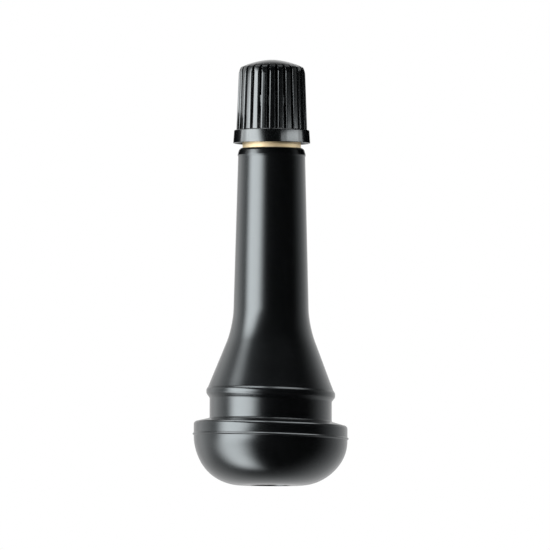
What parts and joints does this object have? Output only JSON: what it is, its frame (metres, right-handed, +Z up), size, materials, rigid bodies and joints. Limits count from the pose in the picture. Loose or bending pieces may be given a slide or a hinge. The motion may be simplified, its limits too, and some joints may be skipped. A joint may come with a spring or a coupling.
{
  "type": "tyre valve",
  "caption": "Snap-in rubber tyre valve with a brass stem, a sprung core and a ribbed dust cap that unscrews.",
  "frame": {"origin": "centre of the flat under the base", "axes": "+Z up along the valve's axis towards the cap; the valve is round, so X and Y are free"},
  "size_m": [0.0198, 0.0198, 0.054],
  "materials": {
    "body_rubber": "smooth moulded black rubber with a soft sheen",
    "stem_brass": "bright turned brass",
    "core_brass": "turned brass",
    "gasket": "matte red moulding",
    "seal_rubber": "matte black rubber",
    "spring_steel": "drawn wire",
    "cap_plastic": "glossy black moulding"
  },
  "bodies": {
    "valve": {"rubber_body": "body_rubber", "brass_stem": "stem_brass", "core_plug": "core_brass", "core_barrel": "core_brass", "barrel_gasket": "gasket", "core_spring": "spring_steel"},
    "cap_slider": {"cap_washer": "seal_rubber"},
    "cap": {"dust_cap": "cap_plastic"},
    "plunger": {"plunger_pin": "core_brass", "plunger_cup": "core_brass", "seat_washer": "seal_rubber"}
  },
  "joints": [
    {"name": "cap_lift", "type": "slide", "parent": "valve", "child": "cap_slider", "axis": [0, 0, 1], "range_m": [0, 0.00516]},
    {"name": "cap_turn", "type": "hinge", "parent": "cap_slider", "child": "cap", "pos_m": [0, 0, 0.0434], "axis": [0, 0, 1], "range_deg": [0, 2340]},
    {"name": "plunger_press", "type": "slide", "parent": "valve", "child": "plunger", "axis": [0, 0, -1], "range_m": [0, 0.0011], "stiffness_N_per_m": 400, "springref_m": -0.002, "deforming": ["core_spring"]}
  ],
  "couplings": [
    {"joint": "cap_turn", "follows": "cap_lift", "rad_per_m": 7915.8}
  ]
}
